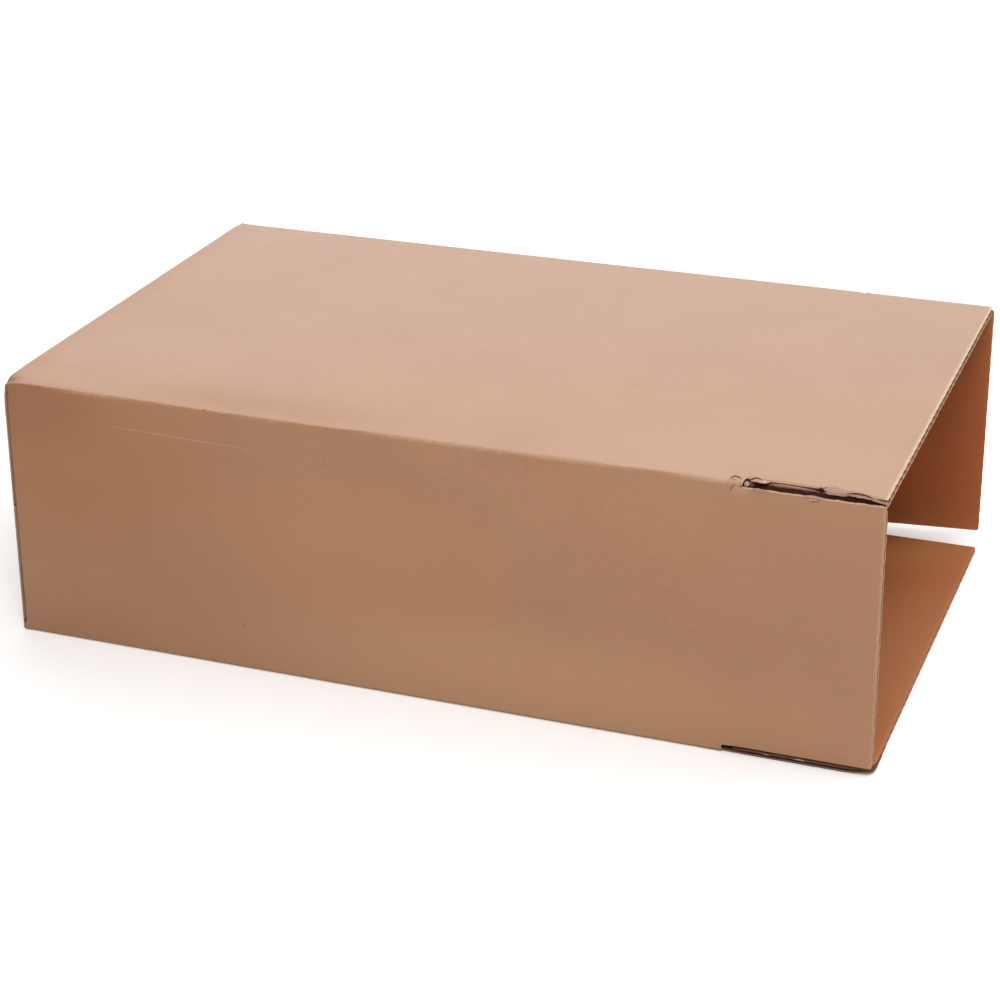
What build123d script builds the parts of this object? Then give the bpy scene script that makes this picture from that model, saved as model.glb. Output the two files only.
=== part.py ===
"""Corrugated carton lying on one of its wide sides, one end shut and the other end open.

Millimetres. The tube of the carton runs along X, from the shut end to the open end, and the flutes of
the board run the same way. Y goes from the near wall to the far wall, and Z is up from the floor.
The pieces are drawn in carton coordinates, whose zero is the corner where the shut end, the near wall
and the floor meet, and are moved at the end so that the origin is the middle of the footprint.
"""

import math
import os

from build123d import *

# The board: two flat liners with a wavy medium between them
board_thickness = 4.0
liner_thickness = 0.3
medium_thickness = 0.25
flute_pitch = 7.8
edge_margin = 1.0

# The carton, over its outer faces. The length is from the shut end to the crease of the wide flaps
crease_reach = 350.0
box_depth = 248.0
box_height = 127.0
fold_radius = 3.0
crush_length = 4.0

# Room that lets every flap swing by itself
crease_gap = 0.3
layer_gap = 0.3
side_clearance = 0.2

# How the free flaps were cut. The wide flaps are measured against the middle of the open end
top_flap_shortfall = 1.5
bottom_flap_near_shortfall = 0.9
bottom_flap_far_overreach = 1.1
back_flap_extra = 1.7
top_slot_drift = 2.7
bottom_slot_extra = 7.8
bottom_flap_taper = 5.0
back_flap_splay = 7.1

# The shut end
shut_seam = 0.5
shut_side_inset = 1.5

half_board = board_thickness / 2
flap_side = board_thickness + side_clearance
mid_reach = (box_height - board_thickness) / 2

# Hinge lines. The narrow flaps fold in first, one board further inside than the wide flaps
wide_crease = crease_reach
narrow_crease = crease_reach - board_thickness - layer_gap

top_flap_length = mid_reach - top_flap_shortfall
bottom_flap_near_length = mid_reach - bottom_flap_near_shortfall
bottom_flap_far_length = mid_reach + bottom_flap_far_overreach
front_flap_length = top_flap_length + wide_crease - narrow_crease
back_flap_length = front_flap_length + back_flap_extra

top_near_edge = flap_side + top_slot_drift
top_far_edge = box_depth - flap_side
bottom_near_edge = flap_side
bottom_far_edge = box_depth - flap_side - bottom_slot_extra
narrow_flap_width = box_height - 2 * flap_side

wall_start = board_thickness + fold_radius
wide_wall_end = wide_crease - half_board - crease_gap
narrow_wall_end = narrow_crease - half_board - crease_gap


def polygon(points):
    """Closed wire through points in space."""
    return Wire.make_polygon([Vector(*point) for point in points], close=True)


def flute_channels(width, place):
    """Wires of the hollow channels in a board of this width.

    place turns a spot of the section, along the width and out from the middle of the board, into a
    point in space. The medium is a zigzag from liner to liner, so each channel is a triangle.
    """
    inner_face = half_board - liner_thickness
    slope = math.atan2(2 * inner_face, flute_pitch / 2)
    foot = medium_thickness / (2 * math.sin(slope))
    apex = inner_face - medium_thickness / (2 * math.cos(slope))
    flutes = int((width - 2 * edge_margin) / flute_pitch)
    start = -flutes * flute_pitch / 2
    wires = []
    for half_flute in range(2 * flutes - 1):
        side = 1 if half_flute % 2 == 0 else -1
        left = start + half_flute * flute_pitch / 2
        corners = [
            (left + foot, side * inner_face),
            (left + flute_pitch - foot, side * inner_face),
            (left + flute_pitch / 2, -side * apex),
        ]
        wires.append(polygon([place(*corner) for corner in corners]))
    return wires


def board(width, place, direction, length):
    """Straight run of fluted board: its section at place, carried along direction."""
    side = width / 2
    corners = [(-side, -half_board), (side, -half_board), (side, half_board), (-side, half_board)]
    outline = polygon([place(*corner) for corner in corners])
    section = Face(outline, flute_channels(width, place))
    return extrude(section, amount=length, dir=direction)


def block(x_range, y_range, z_range):
    """Box between two limits on each axis."""
    size = [high - low for low, high in (x_range, y_range, z_range)]
    middle = [(high + low) / 2 for low, high in (x_range, y_range, z_range)]
    return Pos(*middle) * Box(*size)


def free_flap(width, length):
    """Flap with its hinge line on Y through the origin, reaching along +X, flutes open at the free edge.

    The score crushes the board solid beside the crease and leaves a round nose on the hinge line.
    """
    nose = Rot(90, 0, 0) * Cylinder(half_board, width)
    crushed = block((0, crush_length), (-width / 2, width / 2), (-half_board, half_board))
    fluted = board(width, lambda s, n: (crush_length, s, n), (1, 0, 0), length - crush_length)
    return nose + crushed + fluted


def trimmed(flap, outline):
    """Flap cut to an outline, given as corners on X and Y."""
    face = Face(polygon([(x, y, -board_thickness) for x, y in outline]))
    return flap & extrude(face, amount=2 * board_thickness, dir=(0, 0, 1))


def tube():
    """The four walls as one folded tube, with its corners cut back where the slots of the open end are."""
    middle = (box_depth / 2, box_height / 2)
    outline = Plane.YZ * Pos(*middle) * RectangleRounded(box_depth, box_height, fold_radius)
    hollow_corners = [
        (0, board_thickness, board_thickness),
        (0, box_depth - board_thickness, board_thickness),
        (0, box_depth - board_thickness, box_height - board_thickness),
        (0, board_thickness, box_height - board_thickness),
    ]
    hollow = polygon(hollow_corners)
    wide = box_depth - 2 * board_thickness
    narrow = box_height - 2 * board_thickness
    channels = flute_channels(wide, lambda s, n: (0, middle[0] + s, box_height - half_board + n))
    channels += flute_channels(wide, lambda s, n: (0, middle[0] + s, half_board - n))
    channels += flute_channels(narrow, lambda s, n: (0, half_board - n, middle[1] + s))
    channels += flute_channels(narrow, lambda s, n: (0, box_depth - half_board + n, middle[1] + s))
    outer_wire = outline.face().outer_wire()
    crushed_section = Face(outer_wire, [hollow])
    crushed = Pos(wall_start, 0, 0) * extrude(crushed_section, amount=crush_length, dir=(1, 0, 0))
    fluted_start = wall_start + crush_length
    fluted_length = wide_wall_end - fluted_start
    fluted_section = Face(outer_wire, [hollow] + channels)
    fluted = Pos(fluted_start, 0, 0) * extrude(fluted_section, amount=fluted_length, dir=(1, 0, 0))

    past = board_thickness
    slot = (narrow_wall_end, wide_wall_end + past)
    every_z = (-past, box_height + past)
    top_z = (box_height - flap_side, box_height + past)
    bottom_z = (-past, flap_side)
    near = block(slot, (-past, flap_side), every_z)
    far = block(slot, (box_depth - flap_side, box_depth + past), every_z)
    top_near = block(slot, (-past, top_near_edge), top_z)
    bottom_far = block(slot, (bottom_far_edge, box_depth + past), bottom_z)
    return crushed + fluted - near - far - top_near - bottom_far


def shut_wide_flap():
    """Top flap of the shut end, folded down to the seam at half height."""
    crush_end = box_height - board_thickness - crush_length
    fold = make_face(
        [
            Line((wall_start, box_height), (fold_radius, box_height)),
            RadiusArc((fold_radius, box_height), (0, box_height - fold_radius), -fold_radius),
            Polyline(
                (0, box_height - fold_radius),
                (0, crush_end),
                (board_thickness, crush_end),
                (board_thickness, box_height - board_thickness),
                (wall_start, box_height - board_thickness),
                (wall_start, box_height),
            ),
        ]
    )
    width = box_depth - 2 * shut_side_inset
    bar = Pos(0, box_depth - shut_side_inset, 0) * Rot(90, 0, 0) * extrude(fold, amount=width)
    length = crush_end - (box_height + shut_seam) / 2
    mid_depth = box_depth / 2
    return bar + board(width, lambda s, n: (half_board - n, mid_depth + s, crush_end), (0, 0, -1), length)


def shut_narrow_flap():
    """Near flap of the shut end, folded in behind the wide ones."""
    crush_end = board_thickness + crush_length
    inner_face = 2 * board_thickness
    fold = make_face(
        [
            Line((inner_face, 0), (wall_start, 0)),
            RadiusArc((wall_start, 0), (board_thickness, fold_radius), fold_radius),
            Polyline(
                (board_thickness, fold_radius),
                (board_thickness, crush_end),
                (inner_face, crush_end),
                (inner_face, 0),
            ),
        ]
    )
    bar = Pos(0, 0, flap_side) * extrude(fold, amount=narrow_flap_width)
    length = half_board + front_flap_length - crush_end
    middle = board_thickness + half_board
    mid_height = box_height / 2
    return bar + board(
        narrow_flap_width, lambda s, n: (middle - n, crush_end, mid_height + s), (0, 1, 0), length
    )


def box_body():
    """Tube and shut end, one folded and glued sheet."""
    wide = shut_wide_flap()
    narrow = shut_narrow_flap()
    mid_height = Plane.XY.offset(box_height / 2)
    mid_depth = Plane.XZ.offset(-box_depth / 2)
    return tube() + wide + mirror(wide, about=mid_height) + narrow + mirror(narrow, about=mid_depth)


def top_flap():
    """Wide flap on the top wall."""
    flap = free_flap(top_far_edge - top_near_edge, top_flap_length)
    return Pos(wide_crease, (top_near_edge + top_far_edge) / 2, box_height - half_board) * flap


def bottom_flap():
    """Wide flap on the bottom wall, with its free edge out of square and its far edge tapered."""
    width = bottom_far_edge - bottom_near_edge
    longest = max(bottom_flap_near_length, bottom_flap_far_length)
    outline = [
        (-half_board, -width / 2),
        (bottom_flap_near_length, -width / 2),
        (bottom_flap_far_length, width / 2 - bottom_flap_taper),
        (-half_board, width / 2),
    ]
    flap = trimmed(free_flap(width, longest), outline)
    return Pos(wide_crease, (bottom_near_edge + bottom_far_edge) / 2, half_board) * flap


def front_flap():
    """Narrow flap on the near wall."""
    flap = Rot(90, 0, 0) * free_flap(narrow_flap_width, front_flap_length)
    return Pos(narrow_crease, half_board, box_height / 2) * flap


def back_flap():
    """Narrow flap on the far wall, standing outwards by its splay."""
    flap = Rot(0, 0, back_flap_splay) * Rot(90, 0, 0) * free_flap(narrow_flap_width, back_flap_length)
    return Pos(narrow_crease, box_depth - half_board, box_height / 2) * flap


def footprint():
    """Length and depth of the whole carton, over the bottom flap and the splayed back flap."""
    splay = math.radians(back_flap_splay)
    length = wide_crease + max(bottom_flap_near_length, bottom_flap_far_length, top_flap_length)
    out = back_flap_length * math.sin(splay) + half_board * math.cos(splay)
    return length, box_depth - half_board + out


length, depth = footprint()
to_origin = Pos(-length / 2, -depth / 2, 0)
nodes = {
    "box_body": box_body(),
    "top_flap": top_flap(),
    "bottom_flap": bottom_flap(),
    "front_flap": front_flap(),
    "back_flap": back_flap(),
}
os.makedirs("parts", exist_ok=True)
for name, piece in nodes.items():
    placed = to_origin * piece
    export_step(placed, f"parts/{name}.step")
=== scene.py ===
"""Looks of a corrugated carton lying on one of its wide sides, one end shut and the other open.

Every wall and flap is built as real board: an outer liner, an inner liner and the fluted medium
between them. Sizes are in millimetres in carton coordinates, whose zero is the corner where the shut
end, the near wall and the floor meet: X runs to the open end, Y to the far wall and Z up.
"""

import logging
import math
from collections.abc import Callable, Sequence
from dataclasses import dataclass, field
from enum import Enum

import bmesh
import bpy
from mathutils import Matrix, Vector, noise


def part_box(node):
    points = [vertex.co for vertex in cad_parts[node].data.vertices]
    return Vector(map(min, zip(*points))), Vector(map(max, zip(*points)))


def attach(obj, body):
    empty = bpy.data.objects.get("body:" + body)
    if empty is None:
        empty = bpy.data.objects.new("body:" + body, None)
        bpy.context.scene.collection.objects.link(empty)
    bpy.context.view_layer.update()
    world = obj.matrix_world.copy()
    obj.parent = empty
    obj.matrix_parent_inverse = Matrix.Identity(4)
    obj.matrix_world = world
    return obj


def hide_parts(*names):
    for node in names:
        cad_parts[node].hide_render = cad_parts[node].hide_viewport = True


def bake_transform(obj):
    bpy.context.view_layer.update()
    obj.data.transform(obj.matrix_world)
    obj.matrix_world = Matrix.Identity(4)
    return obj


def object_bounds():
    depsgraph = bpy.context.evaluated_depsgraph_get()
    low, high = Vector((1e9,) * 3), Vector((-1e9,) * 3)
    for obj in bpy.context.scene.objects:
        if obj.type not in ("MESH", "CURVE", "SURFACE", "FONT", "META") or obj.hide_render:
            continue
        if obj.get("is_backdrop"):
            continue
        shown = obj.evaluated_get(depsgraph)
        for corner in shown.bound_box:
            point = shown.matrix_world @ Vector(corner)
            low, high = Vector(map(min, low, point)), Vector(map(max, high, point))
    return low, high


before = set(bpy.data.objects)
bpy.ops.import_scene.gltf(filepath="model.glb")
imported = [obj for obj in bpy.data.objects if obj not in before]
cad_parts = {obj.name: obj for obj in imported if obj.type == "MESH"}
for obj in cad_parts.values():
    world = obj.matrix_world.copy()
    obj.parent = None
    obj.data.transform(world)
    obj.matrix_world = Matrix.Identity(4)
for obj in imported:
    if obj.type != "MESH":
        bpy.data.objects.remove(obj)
CAD_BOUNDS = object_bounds()

MM = 0.001
SHEET_UV = "sheet"
# Vertex attribute of worn paper along the folds and cut edges; along the front fold it is also a painted
# highlight.
WEAR_AND_HIGHLIGHT = "wear"

# Millimetres. The probe is the step that finds which way is inwards, and the foot corner is the near
# free corner of the bottom flap, which is lifted a little
NO_EDGE_NEAR = 99.0
PROBE = 0.1
FREE_CRUSH_REACH = 2.5
FOOT_CORNER_LIFT = 1.3
FOOT_CORNER_RUN = (396, 412)
FOOT_CORNER_WIDTH = 16
MEDIUM_MARGIN = 0.3

log = logging.getLogger("carton")

Colour = tuple[float, float, float]
Triple = tuple[float, float, float]
Pair = tuple[float, float]
Spot = tuple[Vector, Pair]
Row = list[Spot]


def mix(start: float, end: float, share: float) -> float:
    """Value at a share of the way from start to end."""
    return start + (end - start) * share


def ease(low: float, high: float, value: float) -> float:
    """Smooth step from 0 at low to 1 at high."""
    share = min(1.0, max(0.0, (value - low) / (high - low)))
    return share * share * (3 - 2 * share)


def bell(distance: float, reach: float) -> float:
    """Falls from 1 at no distance to nearly 0 past twice the reach."""
    return math.exp(-((distance / reach) ** 2))


def ripple(place: float, seed: float, size: float = 1.0) -> float:
    """Smooth wander between about -1 and 1 along a line, different for each seed."""
    return noise.noise(Vector((place / size, seed * 17.3, seed * 5.1)))


def along(marks: Sequence[Pair], place: float) -> float:
    """Value at a place on a smooth line through marks of place and value."""
    if place <= marks[0][0]:
        return marks[0][1]
    for (low, start), (high, end) in zip(marks, marks[1:]):
        if place <= high:
            return mix(start, end, ease(low, high, place))
    return marks[-1][1]


def stations(low: float, high: float, step: float, fine: float = 0.0, edge: float = 0.0) -> list[float]:
    """Places from low to high, closer together within edge of both ends.

    Args:
        low: First place.
        high: Last place.
        step: Largest distance between two places.
        fine: Distance between places near the ends, or 0 for none.
        edge: Length of the finer stretch at each end.

    Returns:
        The places, in rising order.
    """
    finer = fine > 0 and high - low > 2 * edge
    margin = edge if finer else 0.0
    count = max(1, math.ceil((high - low - 2 * margin) / step))
    places = [mix(low + margin, high - margin, i / count) for i in range(count + 1)]
    if finer:
        steps = max(1, round(edge / fine))
        places = [low + edge * i / steps for i in range(steps)] + places
        places += [high - edge + edge * i / steps for i in range(1, steps + 1)]
    return places


@dataclass(frozen=True)
class Board:
    """Single wall board and what its folds look like."""

    thickness: float = 4.0
    liner: float = 0.3
    medium: float = 0.25
    pitch: float = 7.8
    washboard: float = 0.008
    crush: float = 4.0
    score: float = 1.3
    score_reach: float = 1.7
    pinch: float = 0.12
    pinch_wave: float = 0.16
    pinch_reach: float = 0.9

    @property
    def half(self) -> float:
        """Half of the thickness."""
        return self.thickness / 2

    @property
    def rise(self) -> float:
        """Height of a flute's wave from its middle to its tip."""
        return self.half - self.liner - self.medium / 2

    def flute_phase(self, across: float) -> float:
        """Angle of the flute's wave at a place across the flutes."""
        return 2 * math.pi * across / self.pitch


@dataclass(frozen=True)
class Sizes:
    """Carton over its outer faces, and where its creases and cuts are."""

    depth: float = 248.0
    height: float = 127.4
    fold: float = 1.3
    inner_fold: float = 0.5
    wide_crease: float = 350.0
    narrow_crease: float = 345.7
    bend: float = 2.0
    joint_gap: float = 0.3
    wall_start: float = 7.0
    shut_inset: float = 0.3
    shut_seam: float = 0.5
    shut_flap: float = 66.3
    shut_pinch: float = 1.3
    pinch_run: Pair = (3, 16)
    medium_inset: float = 5.0
    tongue_end: float = 1.0
    flap_side: float = 4.2
    splay: float = 7.1
    slot_start: float = 349.0
    lower_slot_start: float = 343.7
    outer_slot_rows: tuple[float, ...] = (345.5,)
    inner_slot_rows: tuple[float, ...] = (345.4, 345.8, 346.3, 346.8, 347.3)

    @property
    def girth(self) -> float:
        """Distance round the four walls."""
        return 2 * (self.depth + self.height)


@dataclass(frozen=True)
class Spacing:
    """Distances between the rows of the grids, and lengths of the finer stretches at their ends."""

    wall: float = 9.0
    wall_end: float = 1.0
    wall_end_run: float = 4.0
    score: float = 0.5
    shut_fold: float = 1.2
    shut_wide: float = 6.0
    shut_narrow: float = 2.0
    shut_side: float = 0.8
    shut_side_run: float = 16.0
    crease: float = 0.45
    flap: float = 1.5
    flap_end: float = 0.5
    flap_end_run: float = 3.0
    flap_side: float = 0.3
    flap_side_run: float = 1.8


BOARD = Board()
SIZES = Sizes()
SPACING = Spacing()


class Face(Enum):
    """The two faces of a wall's board."""

    OUTER = 1
    INNER = -1


class Wall(Enum):
    """The four walls, in the order in which the flat sheet holds them."""

    FRONT = 0
    TOP = 1
    BACK = 2
    BOTTOM = 3

    @property
    def wide(self) -> bool:
        """True for the two walls as deep as the carton."""
        return self in (Wall.TOP, Wall.BOTTOM)

    @property
    def span(self) -> float:
        """Size of the wall across the flutes."""
        return SIZES.depth if self.wide else SIZES.height

    @property
    def sheet_start(self) -> float:
        """Place on the flat sheet where the wall begins."""
        return sum(wall.span for wall in tuple(Wall)[: self.value])

    @property
    def crease(self) -> float:
        """X of the hinge line of the wall's free flap."""
        return SIZES.wide_crease if self.wide else SIZES.narrow_crease

    @property
    def end(self) -> float:
        """X where the wall ends and its free flap begins."""
        return self.crease - SIZES.bend - SIZES.joint_gap

    @property
    def outward(self) -> Vector:
        """Direction out of the carton."""
        ways = {Wall.FRONT: (0, -1, 0), Wall.TOP: (0, 0, 1), Wall.BACK: (0, 1, 0), Wall.BOTTOM: (0, 0, -1)}
        return Vector(ways[self])

    def sheet_place(self, across: float) -> float:
        """Place on the flat sheet of a Y on a wide wall, or of a Z on a narrow one."""
        forward = self in (Wall.FRONT, Wall.TOP)
        return self.sheet_start + (across if forward else self.span - across)

    def point(self, x: float, across: float, deep: float) -> Vector:
        """Point of the wall's board.

        Args:
            x: Place along the flutes.
            across: Y on a wide wall, Z on a narrow one.
            deep: Distance inwards from the outer face.

        Returns:
            The point in carton coordinates.
        """
        points = {
            Wall.FRONT: (x, deep, across),
            Wall.TOP: (x, across, SIZES.height - deep),
            Wall.BACK: (x, SIZES.depth - deep, across),
            Wall.BOTTOM: (x, across, deep),
        }
        return Vector(points[self])

    def spot(self, x: float, across: float, deep: float) -> Spot:
        """Point of the wall's board, with its place on the flat sheet in metres."""
        return self.point(x, across, deep), (x * MM, self.sheet_place(across) * MM)


@dataclass(frozen=True)
class Dent:
    """Smooth push of the board around a point."""

    at: Triple
    reach: float
    push: Triple

    def shift(self, point: Vector) -> Vector:
        """How far this dent moves a point."""
        return Vector(self.push) * bell((point - Vector(self.at)).length, self.reach)


@dataclass(frozen=True)
class Handling:
    """What carrying and stacking did to the walls: dented corners, a long fold that wanders, and paler
    bands along the folds, which along the front fold are partly worn paper and partly a painted highlight.
    """

    fold_lift: tuple[Pair, ...] = (
        (0, -0.5),
        (60, -0.6),
        (100, -1.05),
        (158, -1.1),
        (190, -0.35),
        (228, -0.2),
        (246, -0.4),
        (270, 0.1),
        (296, -0.1),
        (315, 0.35),
        (335, 0.0),
    )
    rear_push: tuple[Pair, ...] = ((0, 0.3), (94, 0.8), (206, 1.3), (313, 2.0), (344, 2.0))
    lift_fade: Pair = (340, 352)
    push_fade: Pair = (342, 354)
    fold_reach: float = 18.0
    shut_push: Pair = (-0.6, 0.5)
    shut_reach: float = 5.0
    # Paler bands along the folds. Along the front fold the band is partly worn paper and partly a painted
    # highlight; the inset sets it off the front fold, and the reach is the width of every band.
    front_rub_and_highlight: float = 0.45
    front_fold_swing: float = 0.35
    rear_rub: float = 0.3
    shut_rub: float = 0.3
    front_fold_inset: float = 0.6
    fold_band_reach: float = 1.5
    dents: tuple[Dent, ...] = (
        Dent(at=(0, 0, 127), reach=5.0, push=(0.8, 1.3, -1.9)),
        Dent(at=(0, 248, 127), reach=5.0, push=(0.4, -0.4, -0.3)),
    )

    def settle(self, point: Vector) -> Vector:
        """Where a point of the clean carton ends up."""
        x, y, z = point
        from_top = SIZES.height - z
        lift = along(self.fold_lift, x) * bell(math.hypot(y, from_top), self.fold_reach)
        lift *= 1 - ease(*self.lift_fade, x)
        back = along(self.rear_push, x) * bell(math.hypot(SIZES.depth - y, from_top), self.fold_reach)
        back *= 1 - ease(*self.push_fade, x)
        shut = bell(math.hypot(x, from_top), self.shut_reach)
        moved = point + Vector((self.shut_push[0] * shut, back, lift + self.shut_push[1] * shut))
        for dent in self.dents:
            moved += dent.shift(point)
        return moved


HANDLING = Handling()
CARTON_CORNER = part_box("box_body")[0]


def to_row(point: Vector) -> Vector:
    """Point of the row frame, in metres, at a point of the carton."""
    return point * MM + CARTON_CORNER


def added(name: str, data: bpy.types.ID) -> bpy.types.Object:
    """New object with this data, linked to the scene."""
    piece = bpy.data.objects.new(name, data)
    bpy.context.scene.collection.objects.link(piece)
    return piece


class NodeBench:
    """Adds, sets and links the nodes of one tree."""

    def __init__(self, tree: bpy.types.NodeTree) -> None:
        """Takes the tree to work on."""
        self.tree = tree
        self.count = 0

    def add(self, kind: str, inputs: dict | None = None, **settings: object) -> bpy.types.Node:
        """Adds a node.

        Args:
            kind: Blender's name of the node's type.
            inputs: For each input, by name or number, a value or the socket that feeds it.
            **settings: Attributes to set on the node first.

        Returns:
            The new node.
        """
        node = self.tree.nodes.new(kind)
        node.location = (180 * (self.count % 12), -220 * (self.count // 12))
        self.count += 1
        for name, value in settings.items():
            setattr(node, name, value)
        for key, value in (inputs or {}).items():
            self.feed(node.inputs[key], value)
        return node

    def feed(self, socket: bpy.types.NodeSocket, value: object) -> None:
        """Links an input to a socket, or sets it to a plain value."""
        if isinstance(value, bpy.types.NodeSocket):
            self.tree.links.new(value, socket)
        else:
            socket.default_value = value

    def math(self, operation: str, *values: object, clamp: bool = False) -> bpy.types.NodeSocket:
        """Result of a Math node on values or sockets."""
        node = self.add("ShaderNodeMath", dict(enumerate(values)), operation=operation, use_clamp=clamp)
        return node.outputs[0]

    def vector(self, operation: str, *values: object, out: str = "Vector") -> bpy.types.NodeSocket:
        """Result of a Vector Math node on values or sockets."""
        node = self.add("ShaderNodeVectorMath", operation=operation)
        for index, value in enumerate(values):
            self.feed(node.inputs["Scale" if operation == "SCALE" and index else index], value)
        return node.outputs[out]

    def spread(
        self, value: object, low: float, high: float, start: float = 0.0, end: float = 1.0
    ) -> bpy.types.NodeSocket:
        """Maps low..high smoothly to start..end."""
        inputs = {"Value": value, "From Min": low, "From Max": high, "To Min": start, "To Max": end}
        return self.add("ShaderNodeMapRange", inputs, interpolation_type="SMOOTHSTEP").outputs[0]

    def blend(self, share: object, start: object, end: object) -> bpy.types.NodeSocket:
        """Colour between start and end."""
        node = self.add("ShaderNodeMix", data_type="RGBA")
        for index, value in ((0, share), (6, start), (7, end)):
            self.feed(node.inputs[index], (*value, 1.0) if isinstance(value, tuple) else value)
        return node.outputs[2]

    def noise(
        self, place: object, scale: float, detail: float = 2.0, rough: float = 0.5
    ) -> bpy.types.NodeSocket:
        """Noise value at a place."""
        inputs = {"Vector": place, "Scale": scale, "Detail": detail, "Roughness": rough}
        return self.add("ShaderNodeTexNoise", inputs).outputs[0]


def new_group(name: str, inputs: dict[str, tuple], outputs: dict[str, str]) -> bpy.types.NodeTree:
    """Shader node group with named sockets.

    Args:
        name: Name of the group.
        inputs: Socket type and starting value for each input's name.
        outputs: Socket type for each output's name.

    Returns:
        The group, with its input and output nodes named In and Out.
    """
    group = bpy.data.node_groups.new(name, "ShaderNodeTree")
    for label, (kind, value) in inputs.items():
        socket = group.interface.new_socket(label, in_out="INPUT", socket_type=kind)
        socket.default_value = value
    for label, kind in outputs.items():
        group.interface.new_socket(label, in_out="OUTPUT", socket_type=kind)
    group.nodes.new("NodeGroupInput").name = "In"
    group.nodes.new("NodeGroupOutput").name = "Out"
    return group


NUMBER = "NodeSocketFloat"
TINT = "NodeSocketColor"
ARROW = "NodeSocketVector"
MM_IN_METRE = 1000.0


def paper_tone_group() -> bpy.types.NodeTree:
    """Colour and grain of kraft paper: cloudy formation, long fibres across the flutes and dark flecks."""
    group = new_group(
        "paper_tone",
        {
            "Place": (ARROW, (0, 0, 0)),
            "Pale": (TINT, (0.5, 0.3, 0.2, 1)),
            "Deep": (TINT, (0.4, 0.2, 0.1, 1)),
            "Cloud": (NUMBER, 0.1),
            "Flecks": (NUMBER, 0.3),
            "Sheet": (NUMBER, 0.0),
        },
        {"Colour": TINT, "Grain": NUMBER},
    )
    bench = NodeBench(group)
    given = group.nodes["In"].outputs
    offset = bench.add("ShaderNodeCombineXYZ", {"Z": given["Sheet"]}).outputs[0]
    place = bench.vector("ADD", bench.vector("SCALE", given["Place"], MM_IN_METRE), offset)

    def swing(level: bpy.types.NodeSocket) -> bpy.types.NodeSocket:
        """Noise around zero, as strong as the clouds."""
        return bench.math("MULTIPLY", bench.math("SUBTRACT", level, 0.5), given["Cloud"])

    def flecks(stretch: Triple, shift: Triple, span: Pair, gain: float) -> bpy.types.NodeSocket:
        """Change of tone where noise of its own place and stretch is high."""
        spot = bench.vector("ADD", bench.vector("MULTIPLY", place, stretch), shift)
        mask = bench.spread(bench.noise(spot, 1.0, 1.5, 0.5), *span)
        return bench.math("MULTIPLY", bench.math("MULTIPLY", mask, given["Flecks"]), gain)

    broad = bench.spread(bench.noise(place, 0.022, 2.0), 0.32, 0.68)
    cloud = bench.noise(place, 0.28, 4.0, 0.62)
    fibres = bench.noise(bench.vector("MULTIPLY", place, (2.4, 0.42, 1.0)), 1.0, 3.0, 0.6)
    tone = bench.blend(broad, given["Deep"], given["Pale"])
    level = bench.math("ADD", bench.math("ADD", 1.0, swing(cloud)), swing(fibres))
    dark = flecks((1.25, 0.5, 1.0), (31.0, 7.0, 3.0), (0.66, 0.76), -0.5)
    light = flecks((1.6, 0.7, 1.0), (5.0, 77.0, 11.0), (0.68, 0.8), 0.22)
    level = bench.math("ADD", level, bench.math("ADD", dark, light))
    colour = bench.vector("SCALE", tone, level)
    grain = bench.math("ADD", bench.math("MULTIPLY", fibres, 0.6), bench.noise(place, 3.0, 3.0, 0.65))
    group.links.new(colour, group.nodes["Out"].inputs["Colour"])
    group.links.new(grain, group.nodes["Out"].inputs["Grain"])
    return group


def pale_band_group() -> bpy.types.NodeTree:
    """Mask of paler paper where the wear stored on the mesh is high, broken up by noise: worn paper, and a
    painted highlight along the front fold.
    """
    group = new_group(
        "pale_band",
        {"Place": (ARROW, (0, 0, 0)), "Wear": (NUMBER, 0.0), "Ragged": (NUMBER, 0.5)},
        {"Mask": NUMBER},
    )
    bench = NodeBench(group)
    given = group.nodes["In"].outputs
    place = bench.vector("SCALE", given["Place"], MM_IN_METRE)
    patchy = bench.math("SUBTRACT", bench.noise(place, 0.55, 3.0, 0.6), 0.5)
    wear = bench.math("ADD", given["Wear"], bench.math("MULTIPLY", patchy, given["Ragged"]))
    present = bench.spread(given["Wear"], 0.02, 0.2)
    mask = bench.math("MULTIPLY", bench.spread(wear, 0.2, 0.9), present)
    group.links.new(mask, group.nodes["Out"].inputs["Mask"])
    return group


def soft_mark_group() -> bpy.types.NodeTree:
    """Mask of one soft oval mark at a place on the sheet."""
    group = new_group(
        "soft_mark",
        {
            "Place": (ARROW, (0, 0, 0)),
            "Middle": (ARROW, (0, 0, 0)),
            "Reach": (ARROW, (1, 1, 1)),
            "Turn": (NUMBER, 0.0),
            "Strength": (NUMBER, 1.0),
        },
        {"Mask": NUMBER},
    )
    bench = NodeBench(group)
    given = group.nodes["In"].outputs
    place = bench.vector("SUBTRACT", bench.vector("SCALE", given["Place"], MM_IN_METRE), given["Middle"])
    angle = {"Vector": place, "Angle": given["Turn"]}
    turned = bench.add("ShaderNodeVectorRotate", angle, rotation_type="Z_AXIS")
    near = bench.vector("LENGTH", bench.vector("DIVIDE", turned.outputs[0], given["Reach"]), out="Value")
    mask = bench.math("MULTIPLY", bench.spread(near, 1.0, 0.2), given["Strength"])
    group.links.new(mask, group.nodes["Out"].inputs["Mask"])
    return group


@dataclass(frozen=True)
class Mark:
    """Soft oval patch of another tone on a wall's paper, in millimetres; some are real marks, others
    painted light and shade.
    """

    tone: Colour
    x: float
    wall: Wall
    across: float
    size: Pair
    turn: float = 0.0
    strength: float = 0.5

    @property
    def middle(self) -> Triple:
        """Middle of the mark on the flat sheet."""
        return self.x, self.wall.sheet_place(self.across), 0.0


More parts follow.
